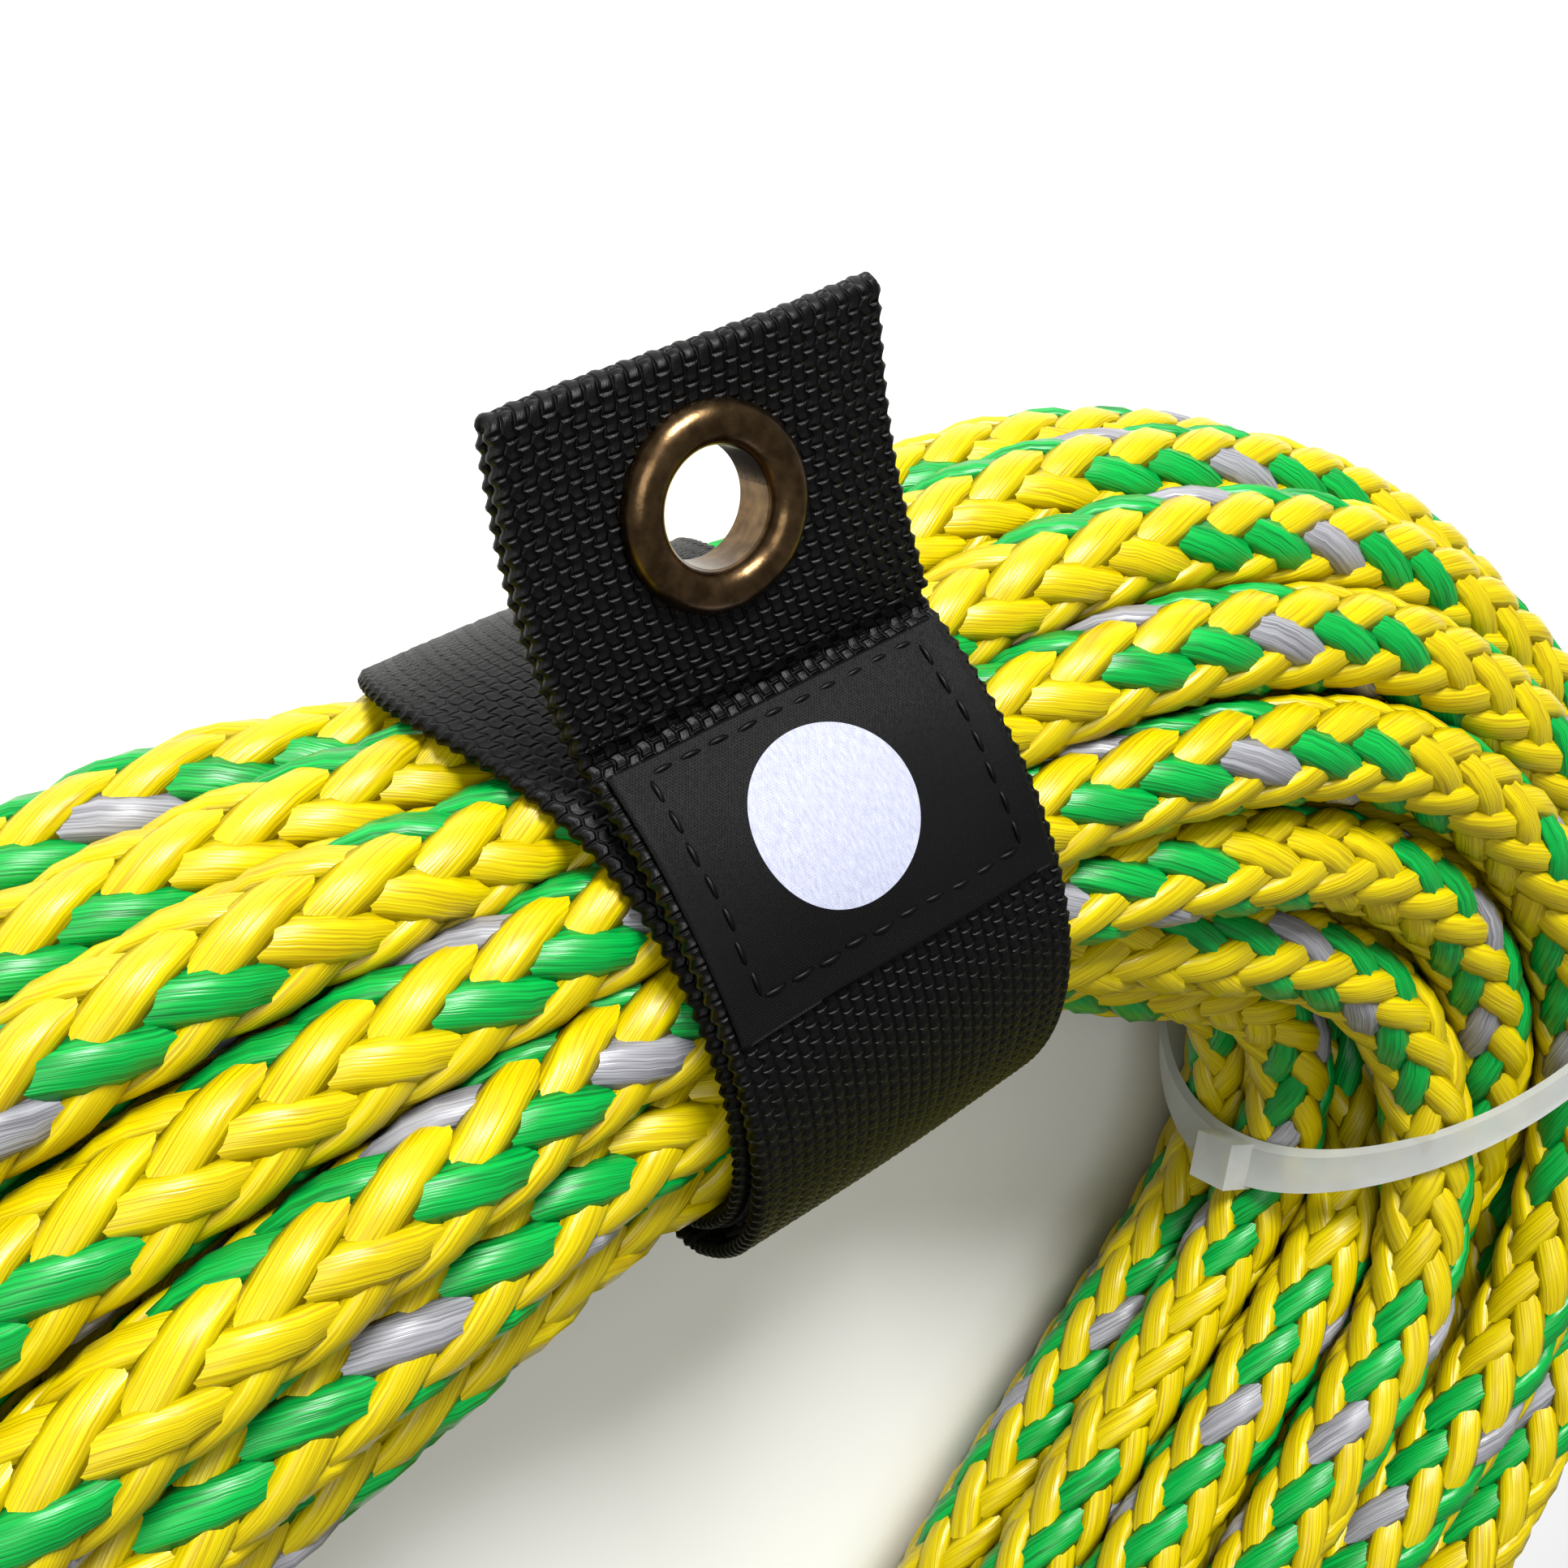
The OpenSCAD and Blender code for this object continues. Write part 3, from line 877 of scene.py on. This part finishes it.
# A plain woven disc on the label, with no mark on it, mixed over the satin.
nodes, links = satin_label.node_tree.nodes, satin_label.node_tree.links
shader = next(n for n in nodes if n.type == "BSDF_PRINCIPLED")
satin_colour = shader.inputs["Base Color"].links[0].from_socket
badge = nodes.new("NodeFrame")
badge.label = "Woven disc"
spot = nodes.new("ShaderNodeTexCoord")
spot.label = "Across and along the label"
spot.location = (-1000, 900)
spot.parent = badge
centred = nodes.new("ShaderNodeVectorMath")
centred.label = "From the disc's middle"
centred.location = (-800, 900)
centred.parent = badge
centred.operation = "SUBTRACT"
centred.inputs[1].default_value = (-0.0012, 0.0118, 0)
distance = nodes.new("ShaderNodeVectorMath")
distance.label = "Distance from the middle"
distance.location = (-600, 1000)
distance.parent = badge
distance.operation = "LENGTH"
inside_disc = nodes.new("ShaderNodeMath")
inside_disc.label = "Inside the disc"
inside_disc.location = (-400, 1000)
inside_disc.parent = badge
inside_disc.operation = "LESS_THAN"
inside_disc.inputs[1].default_value = 0.0083
threads = nodes.new("ShaderNodeMapping")
threads.label = "Thread lines"
threads.location = (-600, 1300)
threads.parent = badge
threads.inputs["Scale"].default_value = (3200, 900, 1)
floss = nodes.new("ShaderNodeTexNoise")
floss.label = "Floss"
floss.location = (-400, 1300)
floss.parent = badge
floss.inputs["Scale"].default_value = 1
floss.inputs["Detail"].default_value = 2
pale = nodes.new("ShaderNodeMix")
pale.label = "Pale floss"
pale.location = (0, 1300)
pale.parent = badge
pale.data_type = "RGBA"
pale.inputs["A"].default_value = (0.30, 0.31, 0.42, 1)
pale.inputs["B"].default_value = (0.55, 0.57, 0.70, 1)
over_satin = nodes.new("ShaderNodeMix")
over_satin.label = "Disc over satin"
over_satin.location = (200, 1000)
over_satin.parent = badge
over_satin.data_type = "RGBA"
links.new(spot.outputs["UV"], centred.inputs[0])
links.new(centred.outputs["Vector"], distance.inputs[0])
links.new(distance.outputs["Value"], inside_disc.inputs[0])
links.new(spot.outputs["UV"], threads.inputs["Vector"])
links.new(threads.outputs["Vector"], floss.inputs["Vector"])
links.new(floss.outputs["Fac"], pale.inputs["Factor"])
links.new(satin_colour, over_satin.inputs["A"])
links.new(pale.outputs["Result"], over_satin.inputs["B"])
links.new(inside_disc.outputs["Value"], over_satin.inputs["Factor"])
links.new(over_satin.outputs["Result"], shader.inputs["Base Color"])

# Painted shade: the core tube is coloured dark to stand for the shade in the braid's hollow, seen in
# the gaps between strands; the noise makes that painted shade uneven.
dark = bpy.data.materials.new("braid_inside_painted_shade")
dark.use_nodes = True
nodes, links = dark.node_tree.nodes, dark.node_tree.links
shade = nodes["Principled BSDF"]
shade.label = "Painted shade deep in the braid"
shade.inputs["Roughness"].default_value = 0.6
depth = nodes.new("ShaderNodeTexNoise")
depth.label = "Uneven depth"
depth.location = (-500, 200)
depth.inputs["Scale"].default_value = 600
gloom = nodes.new("ShaderNodeValToRGB")
gloom.label = "Dark to dull yellow"
gloom.location = (-300, 200)
gloom.color_ramp.elements[0].color = (0.05, 0.035, 0.001, 1)
gloom.color_ramp.elements[1].color = (0.22, 0.15, 0.003, 1)
links.new(depth.outputs["Fac"], gloom.inputs["Fac"])
links.new(gloom.outputs["Color"], shade.inputs["Base Color"])

brass = bpy.data.materials.new("antique_brass")
brass.use_nodes = True
nodes, links = brass.node_tree.nodes, brass.node_tree.links
metal = nodes["Principled BSDF"]
metal.label = "Antiqued brass"
metal.inputs["Metallic"].default_value = 1
metal.inputs["Roughness"].default_value = 0.27
tarnish = nodes.new("NodeFrame")
tarnish.label = "Patina and scuffs"
spot = nodes.new("ShaderNodeTexCoord")
spot.label = "Place on the grommet"
spot.location = (-900, 0)
patina = nodes.new("ShaderNodeTexNoise")
patina.label = "Patina"
patina.location = (-700, 100)
patina.parent = tarnish
patina.inputs["Scale"].default_value = 700
patina.inputs["Detail"].default_value = 5
aged = nodes.new("ShaderNodeValToRGB")
aged.label = "Dark patina to bare brass"
aged.location = (-500, 100)
aged.parent = tarnish
aged.color_ramp.elements[0].position = 0.35
aged.color_ramp.elements[0].color = (0.075, 0.045, 0.020, 1)
aged.color_ramp.elements[1].position = 0.72
aged.color_ramp.elements[1].color = (0.17, 0.105, 0.05, 1)
scuffs = nodes.new("ShaderNodeTexNoise")
scuffs.label = "Fine scuffs"
scuffs.location = (-700, -250)
scuffs.parent = tarnish
scuffs.inputs["Scale"].default_value = 2500
scuffed = nodes.new("ShaderNodeBump")
scuffed.label = "Scuff relief"
scuffed.location = (-400, -250)
scuffed.parent = tarnish
scuffed.inputs["Strength"].default_value = 0.12
scuffed.inputs["Distance"].default_value = 0.0001
links.new(spot.outputs["Object"], patina.inputs["Vector"])
links.new(spot.outputs["Object"], scuffs.inputs["Vector"])
links.new(patina.outputs["Fac"], aged.inputs["Fac"])
links.new(aged.outputs["Color"], metal.inputs["Base Color"])
links.new(scuffs.outputs["Fac"], scuffed.inputs["Height"])
links.new(scuffed.outputs["Normal"], metal.inputs["Normal"])

nylon = bpy.data.materials.new("clear_nylon")
nylon.use_nodes = True
nodes, links = nylon.node_tree.nodes, nylon.node_tree.links
plastic = nodes["Principled BSDF"]
plastic.label = "Milky nylon"
plastic.inputs["Roughness"].default_value = 0.35
plastic.inputs["IOR"].default_value = 1.53
plastic.inputs["Transmission Weight"].default_value = 0.55
cloudy = nodes.new("NodeFrame")
cloudy.label = "Cloudiness"
spot = nodes.new("ShaderNodeTexCoord")
spot.label = "Place on the tie"
spot.location = (-900, 0)
cloud = nodes.new("ShaderNodeTexNoise")
cloud.label = "Cloudiness"
cloud.location = (-700, 0)
cloud.parent = cloudy
cloud.inputs["Scale"].default_value = 180
milk = nodes.new("ShaderNodeValToRGB")
milk.label = "Clear to milky"
milk.location = (-500, 0)
milk.parent = cloudy
milk.color_ramp.elements[0].color = (0.62, 0.64, 0.62, 1)
milk.color_ramp.elements[1].color = (0.88, 0.90, 0.89, 1)
links.new(spot.outputs["Object"], cloud.inputs["Vector"])
links.new(cloud.outputs["Fac"], milk.inputs["Fac"])
links.new(milk.outputs["Color"], plastic.inputs["Base Color"])

inside.data.materials.append(dark)
for piece, colour in strands:
    piece.data.materials.append(BRAID[colour])

for piece in [inside] + [s for s, _ in strands]:
    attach(piece, "coil")
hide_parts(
    "rope_leg_front",
    "rope_waist",
    "rope_leg_inner",
    "rope_leg_outer",
    "rope_bend",
    "rope_leg_rear",
    "rope_far_end",
    "rope_eye_start",
    "rope_eye_end",
    "rope_splice_start",
    "rope_splice_end",
)

# ---------------------------------------------------------------------------
# The keeper's pieces on their bodies, and the plain solids they stand for
# ---------------------------------------------------------------------------

for piece, body, slot, material, node in (
    (wrap_web, "wrap", "webbing", webbing_black, "keeper_wrap"),
    (loop_web, "wrap", "tape", tape_black, "loop_tape"),
    (loop_thread, "wrap", "thread", thread_black, "loop_tape_stitching"),
    (panel_web, "panel", "webbing", webbing_black, "keeper_panel"),
    (hook_web, "panel", "tape", tape_black, "hook_tape"),
    (hook_thread, "panel", "thread", thread_black, "hook_tape_stitching"),
    (label_web, "panel", "label", satin_label, "label_patch"),
    (label_thread, "panel", "thread", thread_black, "label_stitching"),
    (tab_web, "tab", "webbing", webbing_black, "keeper_tab"),
    (tab_thread, "tab", "thread", thread_black, "tab_stitching"),
):
    piece.data.materials.clear()
    piece.data.materials.append(material)
    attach(piece, body)
    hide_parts(node)

for node, material in (("grommet_eyelet", brass), ("grommet_washer", brass), ("cable_tie", nylon)):
    solid = bpy.data.objects[node]
    solid.data.materials.clear()
    solid.data.materials.append(material)

# ---------------------------------------------------------------------------
# Floor and light
# ---------------------------------------------------------------------------

bpy.ops.mesh.primitive_plane_add(size=6, location=(0, 0, -0.0006))
floor = bpy.context.active_object
floor.name = "floor"
paper = bpy.data.materials.new("floor_white")
paper.use_nodes = True
paper.node_tree.nodes["Principled BSDF"].inputs["Base Color"].default_value = (0.9, 0.9, 0.9, 1)
paper.node_tree.nodes["Principled BSDF"].inputs["Roughness"].default_value = 0.9
floor.data.materials.append(paper)

world = bpy.data.worlds.new("studio")
scene.world = world
world.use_nodes = True
world.node_tree.nodes["Background"].inputs["Color"].default_value = (1, 1, 1, 1)
world.node_tree.nodes["Background"].inputs["Strength"].default_value = 0.26


def area_light(name, power, size, where, towards):
    data = bpy.data.lights.new(name, "AREA")
    data.energy = power
    data.size = size
    light = bpy.data.objects.new(name, data)
    scene.collection.objects.link(light)
    light.location = where
    light.rotation_euler = (Vector(towards) - Vector(where)).to_track_quat("-Z", "Y").to_euler()
    return light


area_light("key_light", 15, 0.3, place((0.16, 0.70, 0.58)), KEEPER)
area_light("fill_light", 3.0, 0.5, place((-0.45, 0.30, 0.80)), KEEPER)
scene.view_settings.view_transform = "Standard"
